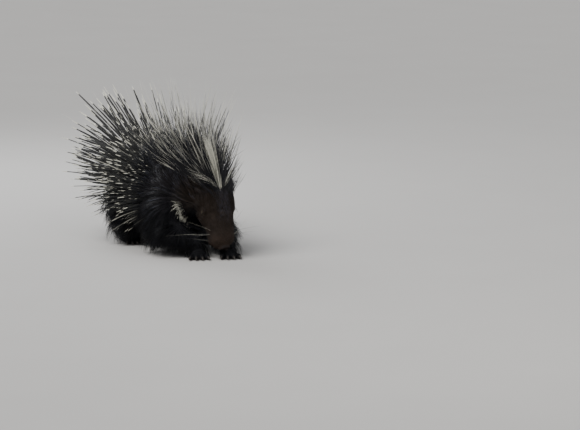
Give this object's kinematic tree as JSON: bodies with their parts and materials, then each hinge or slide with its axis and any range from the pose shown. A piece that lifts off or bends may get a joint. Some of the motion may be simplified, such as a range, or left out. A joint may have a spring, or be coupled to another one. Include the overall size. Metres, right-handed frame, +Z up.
{
  "type": "crested porcupine",
  "caption": "Life-size still model of a crested porcupine that stands on four feet with its head bent to the ground between its forepaws and its quills and crest raised.",
  "frame": {"origin": "under the middle of the whole outline, quill tips included, at the level of the soles", "axes": "+X the way the animal faces, +Y its left, +Z up"},
  "size_m": [0.6956, 0.4958, 0.4929],
  "materials": {
    "body_fur": "coarse black bristle, satin",
    "face_fur": "short brown-black hair, matt",
    "bare_skin": "dark bare skin, matt",
    "eye": "wet gloss",
    "claw": "worn dark horn",
    "quill": "smooth horn in black and cream bands",
    "crest": "stiff grey and white bristle, satin",
    "whisker": "stiff pale hair"
  },
  "bodies": {
    "root": {"rump": "body_fur", "belly": "body_fur", "chest": "body_fur", "neck": "body_fur", "head": "face_fur", "nose": "bare_skin", "tail": "body_fur", "eye_left": "eye", "ear_left": "bare_skin", "whiskers_left": "whisker", "foreleg_left": "body_fur", "forepaw_left": "bare_skin", "forepaw_left_claw_1": "claw", "forepaw_left_claw_2": "claw", "forepaw_left_claw_3": "claw", "forepaw_left_claw_4": "claw", "hindleg_left": "body_fur", "hindfoot_left": "bare_skin", "hindfoot_left_claw_1": "claw", "hindfoot_left_claw_2": "claw", "hindfoot_left_claw_3": "claw", "hindfoot_left_claw_4": "claw", "hindfoot_left_claw_5": "claw", "eye_right": "eye", "ear_right": "bare_skin", "whiskers_right": "whisker", "foreleg_right": "body_fur", "forepaw_right": "bare_skin", "forepaw_right_claw_1": "claw", "forepaw_right_claw_2": "claw", "forepaw_right_claw_3": "claw", "forepaw_right_claw_4": "claw", "hindleg_right": "body_fur", "hindfoot_right": "bare_skin", "hindfoot_right_claw_1": "claw", "hindfoot_right_claw_2": "claw", "hindfoot_right_claw_3": "claw", "hindfoot_right_claw_4": "claw", "hindfoot_right_claw_5": "claw", "quills_left": "quill", "crest_left": "crest", "quills_right": "quill", "crest_right": "crest"}
  },
  "joints": []
}
